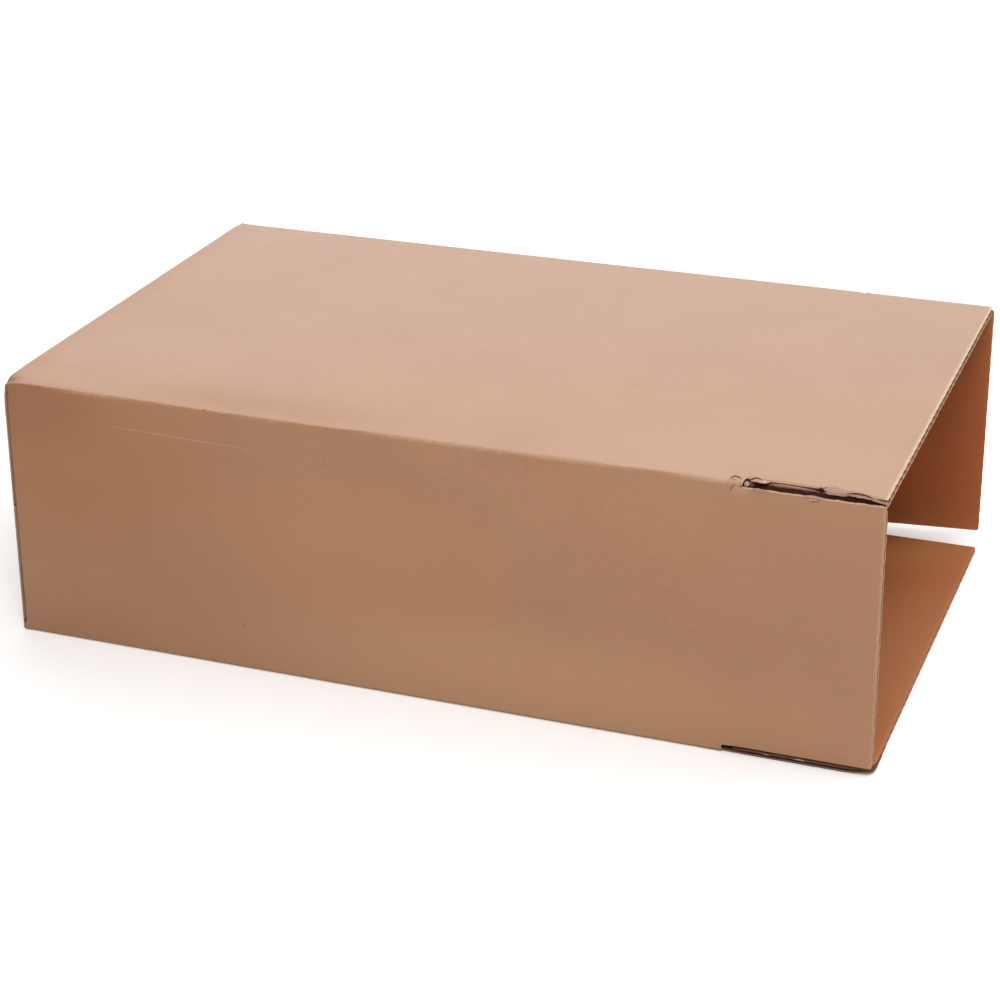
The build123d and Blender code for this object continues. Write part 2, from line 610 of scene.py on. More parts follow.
@dataclass
class Finishes:
    """The paper finishes, built once and shared by all pieces."""

    tone: bpy.types.NodeTree = field(default_factory=paper_tone_group)
    pale_band: bpy.types.NodeTree = field(default_factory=pale_band_group)
    mark: bpy.types.NodeTree = field(default_factory=soft_mark_group)
    made: dict[str, bpy.types.Material] = field(default_factory=dict)

    def get(self, finish: "PaperFinish") -> bpy.types.Material:
        """Material of a finish, built the first time that it is asked for."""
        if finish.name not in self.made:
            self.made[finish.name] = finish.build(self)
        return self.made[finish.name]


@dataclass(frozen=True)
class PaperFinish:
    """One kind of kraft paper."""

    name: str
    pale: Colour
    deep: Colour
    worn: Colour
    cloud: float = 0.16
    flecks: float = 0.4
    sheet: float = 0.0
    roughness: float = 0.62
    specular: float = 0.5
    grain: float = 0.00004
    marks: tuple[Mark, ...] = ()

    def build(self, kit: Finishes) -> bpy.types.Material:
        """Makes the material.

        Args:
            kit: Holds the shared node groups.

        Returns:
            The material.
        """
        material = bpy.data.materials.new(self.name)
        material.use_nodes = True
        tree = material.node_tree
        tree.nodes.clear()
        bench = NodeBench(tree)
        place = bench.add("ShaderNodeUVMap", uv_map=SHEET_UV).outputs[0]
        inputs = {
            "Place": place,
            "Pale": (*self.pale, 1),
            "Deep": (*self.deep, 1),
            "Cloud": self.cloud,
            "Flecks": self.flecks,
            "Sheet": self.sheet,
        }
        tone = bench.add("ShaderNodeGroup", inputs, node_tree=kit.tone)
        colour = tone.outputs["Colour"]
        for mark in self.marks:
            inputs = {
                "Place": place,
                "Middle": mark.middle,
                "Reach": (*mark.size, 1.0),
                "Turn": mark.turn,
                "Strength": mark.strength,
            }
            mask = bench.add("ShaderNodeGroup", inputs, node_tree=kit.mark)
            colour = bench.blend(mask.outputs["Mask"], colour, mark.tone)
        # Paler colour where the wear attribute is high: worn paper, and along the outer liner's front fold
        # a painted highlight.
        wear = bench.add("ShaderNodeAttribute", attribute_name=WEAR_AND_HIGHLIGHT).outputs["Fac"]
        pale_band = bench.add("ShaderNodeGroup", {"Place": place, "Wear": wear}, node_tree=kit.pale_band)
        colour = bench.blend(pale_band.outputs["Mask"], colour, self.worn)
        bump = bench.add("ShaderNodeBump", {"Height": tone.outputs["Grain"], "Distance": self.grain})
        inputs = {
            "Base Color": colour,
            "Normal": bump.outputs[0],
            "Roughness": self.roughness,
            "Specular IOR Level": self.specular,
        }
        shader = bench.add("ShaderNodeBsdfPrincipled", inputs)
        bench.add("ShaderNodeOutputMaterial", {"Surface": shader.outputs[0]})
        return material


# Tones of painted shade and painted light on the outer liner.
PAINTED_SHADE_TONE = (0.39, 0.165, 0.064)
PAINTED_LIGHT_TONE = (0.53, 0.28, 0.15)
# Dark tone of real dirt dots and scratches, also used for painted shade at the carton's foot.
DIRT_AND_SHADE_TONE = (0.18, 0.08, 0.045)
# Paler colour of worn paper; along the front fold it also serves as a painted highlight.
WORN_AND_HIGHLIGHT_COLOUR = (0.60, 0.38, 0.25)

OUTER_KRAFT = PaperFinish(
    name="outer_kraft",
    pale=(0.428, 0.213, 0.108),
    deep=(0.412, 0.202, 0.101),
    worn=WORN_AND_HIGHLIGHT_COLOUR,
    roughness=0.45,
    marks=(
        # Painted shade: the front darker and warmer towards the shut end.
        Mark(PAINTED_SHADE_TONE, 20, Wall.FRONT, 95, (130, 75), strength=0.8),
        # Painted shade: the front darker at its top corner by the shut end.
        Mark((0.345, 0.138, 0.057), 8, Wall.FRONT, 120, (60, 34), strength=0.8),
        # Painted light: the middle of the front lighter.
        Mark((0.465, 0.222, 0.101), 175, Wall.FRONT, 65, (90, 50), strength=0.8),
        # Painted shade: the front flap darker.
        Mark((0.395, 0.192, 0.098), 392, Wall.FRONT, 80, (60, 60), strength=0.8),
        # Painted light: the near part of the top lighter towards the open end.
        Mark((0.43, 0.228, 0.116), 350, Wall.TOP, 30, (120, 50), strength=0.8),
        # Painted shade: the top darker towards the shut end.
        Mark((0.40, 0.20, 0.093), 30, Wall.TOP, 120, (60, 60), strength=0.8),
        Mark((0.43, 0.218, 0.112), 25, Wall.TOP, 14, (90, 15), strength=1.0),
        # Painted light: the foot of the front lighter, as if lit by the floor.
        Mark(PAINTED_LIGHT_TONE, 240, Wall.FRONT, 10, (200, 50), strength=0.75),
        Mark(DIRT_AND_SHADE_TONE, 102, Wall.TOP, 1.0, (1.0, 2.0), strength=0.8),
        Mark(DIRT_AND_SHADE_TONE, 344.9, Wall.FRONT, 125.3, (0.8, 3.8), turn=0.5, strength=0.9),
        # Painted shade: a thin dark line along the whole bottom-front edge, where it meets the floor.
        Mark(DIRT_AND_SHADE_TONE, 175, Wall.FRONT, 0.3, (500, 1.4), strength=0.6),
        # Painted shade: a dark band on the bottom flap's near edge, which the floor shades.
        Mark(DIRT_AND_SHADE_TONE, 381, Wall.BOTTOM, 0.5, (74, 5), strength=0.9),
        Mark(DIRT_AND_SHADE_TONE, 160.5, Wall.FRONT, 112, (3.0, 0.7), turn=1.2, strength=0.35),
        Mark(DIRT_AND_SHADE_TONE, 117, Wall.FRONT, 22, (2.0, 1.0), strength=0.3),
        Mark(WORN_AND_HIGHLIGHT_COLOUR, 90, Wall.FRONT, 112, (55, 0.8), turn=0.02, strength=0.3),
        Mark(WORN_AND_HIGHLIGHT_COLOUR, 348.0, Wall.FRONT, 124.8, (6.0, 4.0), strength=0.22),
    ),
)
INNER_KRAFT = PaperFinish(
    name="inner_kraft",
    pale=(0.43, 0.153, 0.056),
    deep=(0.41, 0.140, 0.049),
    worn=WORN_AND_HIGHLIGHT_COLOUR,
    flecks=0.25,
    sheet=40.0,
    specular=0.15,
    marks=(
        # Painted light and shade inside: the back flap darker and redder, and lighter patches on the
        # bottom and on the back flap by the front flap's edge, where the walls keep the light out.
        Mark((0.40, 0.118, 0.038), 375, Wall.BACK, 50, (110, 90), strength=0.8),
        Mark((0.54, 0.225, 0.08), 372, Wall.BOTTOM, 225, (45, 45), strength=0.8),
        Mark((0.50, 0.160, 0.055), 368, Wall.BACK, 40, (28, 90), strength=0.7),
        Mark((0.43, 0.175, 0.075), 400, Wall.BOTTOM, 90, (50, 130), strength=0.8),
    ),
)
FLUTE_PAPER = PaperFinish(
    name="flute_paper",
    pale=(0.42, 0.24, 0.15),
    deep=(0.34, 0.19, 0.12),
    worn=(0.6, 0.4, 0.28),
    sheet=80.0,
    roughness=0.8,
)
CUT_PAPER = PaperFinish(
    name="cut_paper",
    pale=(0.62, 0.40, 0.27),
    deep=(0.5, 0.31, 0.2),
    worn=(0.72, 0.5, 0.36),
    cloud=0.5,
    flecks=0.6,
    sheet=120.0,
    roughness=0.9,
)
TORN_PLY = PaperFinish(
    name="torn_ply",
    pale=(0.54, 0.33, 0.25),
    deep=(0.44, 0.26, 0.19),
    worn=(0.6, 0.4, 0.3),
    cloud=0.5,
    flecks=0.5,
    sheet=200.0,
    roughness=0.85,
    specular=0.3,
)
# Painted shade: a dark paper for the cut edges and flutes of the back and bottom flaps, which lie in
# shadow.
PAINTED_SHADE_CUT = PaperFinish(
    name="painted_shade_cut",
    pale=(0.19, 0.085, 0.058),
    deep=(0.13, 0.055, 0.038),
    worn=(0.3, 0.16, 0.1),
    cloud=0.5,
    flecks=0.6,
    sheet=140.0,
    roughness=0.9,
    specular=0.2,
)
# Painted shade: near-black paper laid in thin strips where there is only shadow, in cracks, under lifted
# liner and down in the slots.
PAINTED_TEAR_SHADE = PaperFinish(
    name="painted_tear_shade",
    pale=(0.085, 0.03, 0.018),
    deep=(0.06, 0.02, 0.012),
    worn=(0.2, 0.11, 0.07),
    sheet=160.0,
    roughness=0.9,
    specular=0.05,
)


class Skin:
    """One ply of paper: grids of points that are merged and given the ply's thickness."""

    def __init__(self, name: str, paper: float, finish: PaperFinish, cut: PaperFinish) -> None:
        """Starts an empty ply.

        Args:
            name: Name of the piece.
            paper: Thickness in millimetres, which grows away from the face that shows.
            finish: Finish of the face that shows.
            cut: Finish of the cut edges.
        """
        self.name = name
        self.paper = paper
        self.finishes = (finish, FLUTE_PAPER, cut)
        self.mesh = bmesh.new()
        self.sheet = self.mesh.loops.layers.uv.new(SHEET_UV)
        self.wear = self.mesh.verts.layers.float.new(WEAR_AND_HIGHLIGHT)

    def add(
        self,
        rows: Sequence[Row],
        facing: Vector,
        wear: Callable[[Vector], float] | None = None,
        keep: Callable[[Spot], bool] | None = None,
    ) -> None:
        """Adds a grid of faces.

        Args:
            rows: Rows of spots in carton coordinates, all of one length.
            facing: Rough direction of the face that shows, at the grid's first face.
            wear: Wear at a point of the carton.
            keep: Tells from the middle of a face whether it stays.
        """
        made = []
        for row in rows:
            line = []
            for point, _ in row:
                vertex = self.mesh.verts.new(to_row(HANDLING.settle(point)))
                vertex[self.wear] = wear(point) if wear else 0.0
                line.append(vertex)
            made.append(line)
        first = rows[0][0][0]
        turn = (rows[1][0][0] - first).cross(rows[0][1][0] - first)
        flip = turn.dot(facing) < 0
        for i in range(len(rows) - 1):
            for j in range(len(rows[0]) - 1):
                corners = [(i, j), (i + 1, j), (i + 1, j + 1), (i, j + 1)]
                if keep:
                    spots = [rows[a][b] for a, b in corners]
                    middle = sum((spot[0] for spot in spots), Vector()) / 4
                    place = tuple(sum(spot[1][k] for spot in spots) / 4 for k in range(2))
                    if not keep((middle, place)):
                        continue
                if flip:
                    corners.reverse()
                face = self.mesh.faces.new([made[a][b] for a, b in corners])
                face.smooth = True
                for loop, (a, b) in zip(face.loops, corners):
                    loop[self.sheet].uv = rows[a][b][1]

    def finish(self, kit: Finishes) -> bpy.types.Object:
        """Merges the grids, gives the ply its thickness and its finishes, and returns the piece."""
        bmesh.ops.remove_doubles(self.mesh, verts=self.mesh.verts, dist=2e-6)
        bmesh.ops.dissolve_degenerate(self.mesh, dist=1e-7, edges=self.mesh.edges)
        loose = [vertex for vertex in self.mesh.verts if not vertex.link_faces]
        bmesh.ops.delete(self.mesh, geom=loose, context="VERTS")
        data = bpy.data.meshes.new(self.name)
        self.mesh.to_mesh(data)
        self.mesh.free()
        piece = added(self.name, data)
        for one in self.finishes:
            data.materials.append(kit.get(one))
        thick = piece.modifiers.new("paper", "SOLIDIFY")
        thick.thickness = self.paper * MM
        thick.offset = -1
        thick.use_even_offset = True
        thick.use_rim = True
        thick.material_offset = 1
        thick.material_offset_rim = 2
        settled(piece)
        edges = {edge.key: edge for edge in piece.data.edges}
        for face in piece.data.polygons:
            if face.material_index == 2:
                for key in face.edge_keys:
                    edges[key].use_edge_sharp = True
        return piece


def settled(piece: bpy.types.Object) -> bpy.types.Object:
    """Turns what a piece's modifiers make into its plain mesh."""
    graph = bpy.context.evaluated_depsgraph_get()
    graph.update()
    made = piece.evaluated_get(graph)
    data = bpy.data.meshes.new_from_object(made, preserve_all_data_layers=True, depsgraph=graph)
    piece.modifiers.clear()
    piece.data = data
    data.name = piece.name
    return piece


def flute_tree() -> bpy.types.NodeTree:
    """Geometry nodes of a flat piece of fluted medium, its flutes along X and its middle at the origin."""
    tree = bpy.data.node_groups.new("fluted_medium", "GeometryNodeTree")
    numbers = {"Length": 0.1, "Width": 0.1, "Pitch": 0.0078, "Rise": 0.0016, "Paper": 0.00025}
    numbers |= {"Crushed": 0.0, "Crushed Height": 1.0}
    for label, value in numbers.items():
        tree.interface.new_socket(label, in_out="INPUT", socket_type=NUMBER).default_value = value
    for label in ("Rows", "Columns"):
        tree.interface.new_socket(label, in_out="INPUT", socket_type="NodeSocketInt").default_value = 4
    tree.interface.new_socket("Finish", in_out="INPUT", socket_type="NodeSocketMaterial")
    tree.interface.new_socket("Medium", in_out="OUTPUT", socket_type="NodeSocketGeometry")
    bench = NodeBench(tree)
    given = bench.add("NodeGroupInput").outputs
    sizes = {"Size X": given["Length"], "Size Y": given["Width"]}
    sizes |= {"Vertices X": given["Rows"], "Vertices Y": given["Columns"]}
    grid = bench.add("GeometryNodeMeshGrid", sizes)
    place = bench.add("GeometryNodeInputPosition").outputs[0]
    parts = bench.add("ShaderNodeSeparateXYZ", {0: place}).outputs
    turn = bench.math("MULTIPLY", bench.math("DIVIDE", parts["Y"], given["Pitch"]), 2 * math.pi)
    wave = bench.math("COSINE", turn)
    from_start = bench.math("ADD", parts["X"], bench.math("MULTIPLY", given["Length"], 0.5))
    ramp = bench.add(
        "ShaderNodeMapRange",
        {
            "Value": from_start,
            "From Min": bench.math("MULTIPLY", given["Crushed"], 0.4),
            "From Max": bench.math("ADD", given["Crushed"], 0.000001),
            "To Min": given["Crushed Height"],
            "To Max": 1.0,
        },
        interpolation_type="SMOOTHSTEP",
    ).outputs[0]
    height = bench.math("MULTIPLY", bench.math("MULTIPLY", wave, given["Rise"]), ramp)
    low = bench.math("SUBTRACT", height, bench.math("MULTIPLY", given["Paper"], 0.5))
    offset = bench.add("ShaderNodeCombineXYZ", {"Z": low}).outputs[0]
    moved = {"Geometry": grid.outputs["Mesh"], "Offset": offset}
    bent = bench.add("GeometryNodeSetPosition", moved).outputs[0]
    raised = bench.add(
        "GeometryNodeExtrudeMesh", {"Mesh": bent, "Offset Scale": given["Paper"], "Individual": False}
    ).outputs["Mesh"]
    under = bench.add("GeometryNodeFlipFaces", {"Mesh": bent}).outputs[0]
    joined = bench.add("GeometryNodeJoinGeometry")
    tree.links.new(raised, joined.inputs[0])
    tree.links.new(under, joined.inputs[0])
    merged = bench.add("GeometryNodeMergeByDistance", {"Geometry": joined.outputs[0], "Distance": 1e-6})
    smooth = bench.add("GeometryNodeSetShadeSmooth", {"Geometry": merged.outputs[0]})
    real = bench.add("GeometryNodeRealizeInstances", {"Geometry": smooth.outputs[0]})
    paper = {"Geometry": real.outputs[0], "Material": given["Finish"]}
    dressed = bench.add("GeometryNodeSetMaterial", paper)
    bench.add("NodeGroupOutput", {0: dressed.outputs[0]})
    return tree


def grown(name: str, tree: bpy.types.NodeTree, inputs: dict[str, object]) -> bpy.types.Object:
    """Piece that a geometry node tree makes.

    Args:
        name: Name of the piece.
        tree: The tree.
        inputs: Value for each named input.

    Returns:
        The piece, with a plain mesh and no modifier.
    """
    piece = added(name, bpy.data.meshes.new(name))
    modifier = piece.modifiers.new("grow", "NODES")
    modifier.node_group = tree
    for item in tree.interface.items_tree:
        if item.item_type == "SOCKET" and item.in_out == "INPUT" and item.name in inputs:
            modifier[item.identifier] = inputs[item.name]
    return settled(piece)


@dataclass
class Medium:
    """Fluted paper between two liners, bent to its place by a function."""

    name: str
    length: float
    width: float
    rows: int = 3
    crushed: float = 0.0
    crushed_height: float = 1.0
    columns_per_flute: int = 14
    finish: PaperFinish = field(default_factory=lambda: FLUTE_PAPER)

    def build(
        self, kit: Finishes, tree: bpy.types.NodeTree, place: Callable[[float, float, float], Spot]
    ) -> bpy.types.Object:
        """Grows the medium and bends it to its place.

        Args:
            kit: The finishes.
            tree: Geometry nodes of the medium.
            place: Spot of a point given by its place along the flutes from 0 to length, its share of
                the width from 0 to 1, and its height over the middle of the board, all in millimetres.

        Returns:
            The piece.
        """
        inputs = {
            "Length": self.length * MM,
            "Width": self.width * MM,
            "Pitch": BOARD.pitch * MM,
            "Rise": BOARD.rise * MM,
            "Paper": BOARD.medium * MM,
            "Crushed": self.crushed * MM,
            "Crushed Height": self.crushed_height,
            "Rows": self.rows,
            "Columns": int(self.width / BOARD.pitch * self.columns_per_flute) + 1,
            "Finish": kit.get(self.finish),
        }
        piece = grown(self.name, tree, inputs)
        sheet = piece.data.uv_layers.new(name=SHEET_UV)
        places = []
        for vertex in piece.data.vertices:
            x, y, z = vertex.co / MM
            point, uv = place(x + self.length / 2, y / self.width + 0.5, z)
            vertex.co = to_row(HANDLING.settle(point))
            places.append(uv)
        for loop in piece.data.loops:
            sheet.data[loop.index].uv = places[loop.vertex_index]
        for name in [layer.name for layer in piece.data.uv_layers if layer.name != SHEET_UV]:
            piece.data.uv_layers.remove(piece.data.uv_layers[name])
        return piece


def liner_depth(side: Face, across: float, from_edge: float, from_crease: float = NO_EDGE_NEAR) -> float:
    """Depth of the face of a liner that shows.

    Args:
        side: The liner.
        across: Place across the flutes, which show through it.
        from_edge: Distance from the nearest cut edge, where cutting pinched the board.
        from_crease: Distance from the crease, whose score leaves a valley in the inner liner.

    Returns:
        Distance inwards from the clean outer face.
    """
    wave = 1 - side.value * math.cos(BOARD.flute_phase(across))
    pinch = bell(from_edge, BOARD.pinch_reach) * (BOARD.pinch + BOARD.pinch_wave * wave / 2)
    pressed = BOARD.washboard * wave + pinch
    if side is Face.OUTER:
        return pressed
    return BOARD.thickness - pressed - BOARD.score * bell(from_crease, BOARD.score_reach)


def quarter_bend(middle: Pair, radius: float) -> list[Pair]:
    """Places along X and down on a quarter round of the shut end's fold, after its first one."""
    places = []
    for step in range(1, 7):
        angle = math.pi / 2 * step / 6
        places.append((middle[0] - radius * math.sin(angle), middle[1] - radius * math.cos(angle)))
    return places


@dataclass
class Tube:
    """The four walls and the shut end, one folded sheet."""

    kit: Finishes
    flutes: bpy.types.NodeTree
    cuts: dict[Wall, "FlapCut"]
    body: str = "box"

    def girth_spot(self, x: float, place: float, deep: float) -> Spot:
        """Spot of the folded sheet.

        Args:
            x: Place along the flutes.
            place: Place on the flat sheet, from the foot of the front wall round the carton.
            deep: Distance inwards from the outer face.

        Returns:
            The point, and its place on the sheet in metres.
        """
        radius = max(SIZES.fold - deep, SIZES.inner_fold)
        reach = deep + radius
        low, high_y, high_z = reach, SIZES.depth - reach, SIZES.height - reach
        middles = ((low, high_z), (high_y, high_z), (high_y, low), (low, low))
        edge = 0.0
        for number, wall in enumerate(Wall):
            edge += wall.span
            if abs(place - edge) <= reach:
                share = (place - edge + reach) / (2 * reach)
                angle = math.pi * (1 - number / 2 - share / 2)
                y = middles[number][0] + radius * math.cos(angle)
                z = middles[number][1] + radius * math.sin(angle)
                return Vector((x, y, z)), (x * MM, place * MM)
            if place < edge:
                start = edge - wall.span
                forward = wall in (Wall.FRONT, Wall.TOP)
                across = place - start if forward else edge - place
                return wall.point(x, across, deep), (x * MM, place * MM)
        return self.girth_spot(x, place - edge, deep)[0], (x * MM, place * MM)

    def columns(self, deep: float) -> list[float]:
        """Places on the flat sheet, round the carton once, with each fold and flap edge among them."""
        reach = deep + max(SIZES.fold - deep, SIZES.inner_fold)
        places = []
        edge = 0.0
        for wall in Wall:
            places += stations(edge + reach, edge + wall.span - reach, BOARD.pitch / 5)
            edge += wall.span
            places += [edge + reach * (i / 4 - 1) for i in range(1, 8)]
            cut = self.cuts[wall]
            edges = [cut.low, cut.high]
            if not wall.wide:
                edges += [SIZES.flap_side, wall.span - SIZES.flap_side]
            places += [wall.sheet_place(across) for across in edges]
        places = sorted(places)
        kept = [places[0]]
        kept += [b for a, b in zip(places, places[1:]) if b - a > 1e-4]
        return kept + [edge + reach]

    def stays(self, spot: Spot) -> bool:
        """Whether a face of the sheet is wall, and not flap or slot."""
        x = spot[1][0] / MM
        place = (spot[1][1] / MM) % SIZES.girth
        wall = next(one for one in reversed(Wall) if place >= one.sheet_start)
        across = place - wall.sheet_start
        from_fold = min(across, wall.span - across)
        if x < SIZES.wall_start:
            return from_fold < (SIZES.fold if wall.wide else SIZES.flap_side)
        cut = self.cuts[wall]
        low, high = sorted((wall.sheet_place(cut.low), wall.sheet_place(cut.high)))
        if low < place < high:
            return x < wall.end
        front_foot = place < wall.span / 2 and wall is Wall.FRONT or place > SIZES.girth - SIZES.flap_side
        return x < (SIZES.lower_slot_start if front_foot else SIZES.slot_start)

    def wear(self, point: Vector) -> float:
        """Wear along the long folds and the shut end's folds; along the front fold it is partly worn paper
        and partly a painted highlight.
        """
        x, y, z = point
        inset = HANDLING.front_fold_inset
        front = math.hypot(y - inset, SIZES.height - inset - z)
        rear = math.hypot(y - SIZES.depth, z - SIZES.height)
        front_rub_and_highlight = HANDLING.front_rub_and_highlight + HANDLING.front_fold_swing * ripple(x, 3, 28)
        fold_bands = ((front_rub_and_highlight, front), (HANDLING.rear_rub, rear), (HANDLING.shut_rub, x - 0.5))
        return max(rub * bell(distance, HANDLING.fold_band_reach) for rub, distance in fold_bands)

    def liner_places(self, side: Face) -> list[float]:
        """Places along the flutes of a liner's rows, from the shut end to the slots."""
        end = Wall.FRONT.end
        fineness = (SPACING.wall, SPACING.wall_end, SPACING.wall_end_run)
        if side is Face.OUTER:
            places = stations(SIZES.tongue_end, SIZES.wall_start, SPACING.wall_end)[:-1]
            places += stations(SIZES.wall_start, end, *fineness)
            between = SIZES.outer_slot_rows
        else:
            places = stations(SIZES.wall_start + 1.0, end - BOARD.crush, *fineness)
            places += stations(end - BOARD.crush, end, SPACING.score)[1:]
            between = SIZES.inner_slot_rows
        return [*places, SIZES.lower_slot_start, *between, Wall.TOP.end, SIZES.slot_start]

    def liner(self, side: Face) -> bpy.types.Object:
        """One liner of the walls and of the shut end's flaps."""
        outer = side is Face.OUTER
        skin = Skin(
            f"walls_{side.name.lower()}_liner",
            BOARD.liner,
            OUTER_KRAFT if outer else INNER_KRAFT,
            CUT_PAPER,
        )
        wear = self.wear if outer else None
        base = 0.0 if outer else BOARD.thickness
        columns = self.columns(base)
        rows = []
        for x in self.liner_places(side):
            row = []
            for place in columns:
                around = place % SIZES.girth
                wall = next((one for one in Wall if around < one.sheet_start + one.span), Wall.FRONT)
                deep = liner_depth(side, place, NO_EDGE_NEAR, x - wall.crease)
                point, uv = self.girth_spot(x, place, base)
                pressed, _ = self.girth_spot(x, place, base + PROBE * side.value)
                row.append((point + (pressed - point) * (abs(deep - base) / PROBE), uv))
            rows.append(row)
        skin.add(rows, Wall.FRONT.outward * side.value, wear, self.stays)
        for wall in (Wall.TOP, Wall.BOTTOM):
            skin.add(self.shut_wide_rows(wall, side), wall.outward * side.value, wear)
        for wall in (Wall.FRONT, Wall.BACK):
            skin.add(self.shut_narrow_rows(wall, side), wall.outward * side.value, wear)
        return skin.finish(self.kit)

    def shut_depth(self, from_side: float) -> float:
        """How far in the wide flaps of the shut end reach: they are pinched near their side edges."""
        return mix(SIZES.shut_pinch, BOARD.thickness, ease(*SIZES.pinch_run, from_side))

    def shut_wide_rows(self, wall: Wall, side: Face) -> list[Row]:
        """Rows of a wide flap of the shut end, from the wall round the fold to the seam."""
        outer = side is Face.OUTER
        deep = 0.0 if outer else BOARD.thickness
        start = SIZES.wall_start if outer else SIZES.wall_start + 1.0
        radius = SIZES.fold if outer else SIZES.inner_fold
        middle = deep + radius
        path = [(x, deep) for x in stations(middle, start, SPACING.shut_fold)[::-1]]
        path += quarter_bend((middle, middle), radius)
        seam = (SIZES.height - SIZES.shut_seam) / 2
        path += [(deep, down) for down in stations(middle, seam, SPACING.shut_wide)[1:]]
        fineness = (BOARD.pitch / 3, SPACING.shut_side, SPACING.shut_side_run)
        rows = []
        for x, down in path:
            flare = ease(start, 0.0, x)
            inset = mix(SIZES.fold if outer else BOARD.thickness + 0.6, SIZES.shut_inset, flare)
            run = start - x + down
            row = []
            for across in stations(inset, SIZES.depth - inset, *fineness):
                from_side = min(across, SIZES.depth - across)
                pinch = 1.0 if outer or down <= deep else self.shut_depth(from_side) / BOARD.thickness
                point = wall.point(x * pinch, across, down)
                row.append((point, ((SIZES.wall_start - run) * MM, wall.sheet_place(across) * MM)))
            rows.append(row)
        return rows

    def shut_narrow_rows(self, wall: Wall, side: Face) -> list[Row]:
        """Rows of a narrow flap of the shut end, folded in behind the wide ones."""
        outer = side is Face.OUTER
        if outer:
            radius = SIZES.fold
            middle = SIZES.shut_pinch + radius
            path = [(x, 0.0) for x in stations(middle, SIZES.wall_start, SPACING.shut_fold)[::-1]]
            path += quarter_bend((middle, radius), radius)
            downs = stations(radius, SIZES.shut_flap, SPACING.shut_narrow)[1:]
        else:
            path = [(SIZES.wall_start + 1.0, BOARD.thickness)]
            downs = stations(BOARD.thickness, SIZES.shut_flap, SPACING.shut_narrow)
        base = 0.0 if outer else BOARD.thickness
        path += [(self.shut_depth(down) + base, down) for down in downs]
        rows = []
        for x, down in path:
            run = SIZES.wall_start - x + down
            row = []
            for across in stations(SIZES.flap_side, SIZES.height - SIZES.flap_side, BOARD.pitch / 3):
                point = wall.point(x, across, down)
                row.append((point, ((SIZES.wall_start - run) * MM, wall.sheet_place(across) * MM)))
            rows.append(row)
        return rows

    def media(self) -> list[bpy.types.Object]:
        """The fluted medium in each wall and in each flap of the shut end."""
        made = []
        for wall in Wall:
            first = SIZES.wall_start + 2.0
            inset = SIZES.medium_inset
            cut = self.cuts[wall]
            low, high = max(inset, cut.low), min(wall.span - inset, cut.high)
            # Walls that handling bends need rows to bend with, or the medium shows through the liners
            rows = 3 if wall is Wall.BOTTOM else 45
            medium = Medium(f"{wall.name.lower()}_wall_flutes", wall.end - first, high - low, rows=rows)

            def wall_place(x: float, share: float, rise: float, one: Wall = wall) -> Spot:
                """Spot of the wall's medium."""
                return one.spot(first + x, mix(low, high, share), BOARD.half - rise)

            made.append(medium.build(self.kit, self.flutes, wall_place))
        return made + self.shut_media()

    def shut_media(self) -> list[bpy.types.Object]:
        """The fluted medium in the shut end's flaps."""
        made = []
        for wall in (Wall.TOP, Wall.BOTTOM, Wall.FRONT, Wall.BACK):
            if wall.wide:
                start, end = BOARD.thickness, (SIZES.height - SIZES.shut_seam) / 2
                inset, rows = SIZES.shut_inset, 30
            else:
                start, end = 2 * BOARD.thickness, SIZES.shut_flap
                inset, rows = SIZES.flap_side, 20
            width = wall.span - 2 * inset
            medium = Medium(f"shut_{wall.name.lower()}_flap_flutes", end - start, width, rows=rows)

            def place(x: float, share: float, rise: float, one: Wall = wall) -> Spot:
                """Spot of the folded flap's medium, pressed thin where the wide flaps are pinched."""
                across = inset + share * width
                down = start + x
                if one.wide:
                    pinch = self.shut_depth(min(across, one.span - across)) / BOARD.thickness
                    inwards = (BOARD.half - rise) * pinch
                else:
                    inwards = self.shut_depth(down) + BOARD.half - rise
                return one.point(inwards, across, down), (-down * MM, one.sheet_place(across) * MM)

            made.append(medium.build(self.kit, self.flutes, place))
        return made

    def build(self) -> list[bpy.types.Object]:
        """Makes every piece of the walls and the shut end, and lets them ride on the box."""
        pieces = [self.liner(Face.OUTER), self.liner(Face.INNER), *self.media()]
        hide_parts("box_body")
        for piece in pieces:
            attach(piece, self.body)
        return pieces


